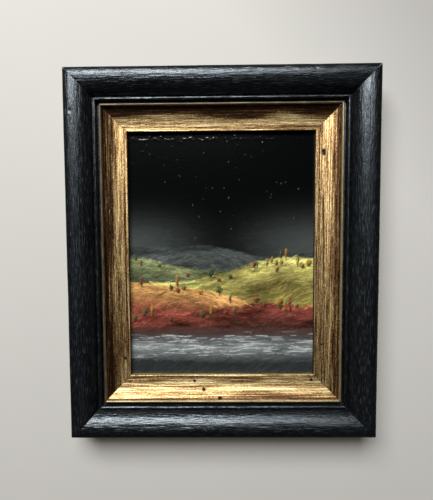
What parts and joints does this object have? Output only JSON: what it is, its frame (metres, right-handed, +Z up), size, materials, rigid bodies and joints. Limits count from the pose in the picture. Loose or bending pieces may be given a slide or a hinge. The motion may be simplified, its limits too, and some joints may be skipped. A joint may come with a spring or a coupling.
{
  "type": "framed picture",
  "caption": "Small upright framed picture for a wall: domed black moulding, gold slip, painted landscape panel and a sawtooth hanger on the back.",
  "frame": {"origin": "where the wall nail meets the wall, behind the middle of the sawtooth hanger's teeth", "axes": "+Z up, +X to the viewer's right, -Y out of the picture towards the viewer, +Y into the wall; the wall is the plane Y = 0"},
  "size_m": [0.2382, 0.034, 0.2848],
  "materials": {
    "black_wood": "satin black stain on open-grained wood",
    "gold_slip": "brushed and rubbed antique gold leaf over wood",
    "oil_paint": "varnished oil paint on a hardboard panel",
    "zinc_steel": "bright zinc plate",
    "dark_steel": "dull spring steel",
    "felt": "pressed brown felt"
  },
  "bodies": {
    "root": {"outer_rail_top": "black_wood", "outer_rail_bottom": "black_wood", "outer_stile_left": "black_wood", "outer_stile_right": "black_wood", "slip_rail_top": "gold_slip", "slip_rail_bottom": "gold_slip", "slip_stile_left": "gold_slip", "slip_stile_right": "gold_slip", "painted_panel": "oil_paint", "sawtooth_hanger": "zinc_steel", "hanger_pin_left": "zinc_steel", "hanger_pin_right": "zinc_steel", "felt_bumper_left": "felt", "felt_bumper_right": "felt", "point_top_1": "dark_steel", "point_top_2": "dark_steel", "point_right_1": "dark_steel", "point_right_2": "dark_steel", "point_bottom_1": "dark_steel", "point_bottom_2": "dark_steel", "point_left_1": "dark_steel", "point_left_2": "dark_steel", "corner_wedge_1_1": "dark_steel", "corner_wedge_1_2": "dark_steel", "corner_wedge_2_1": "dark_steel", "corner_wedge_2_2": "dark_steel", "corner_wedge_3_1": "dark_steel", "corner_wedge_3_2": "dark_steel", "corner_wedge_4_1": "dark_steel", "corner_wedge_4_2": "dark_steel", "slip_wedge_1": "dark_steel", "slip_wedge_2": "dark_steel", "slip_wedge_3": "dark_steel", "slip_wedge_4": "dark_steel"}
  },
  "joints": []
}
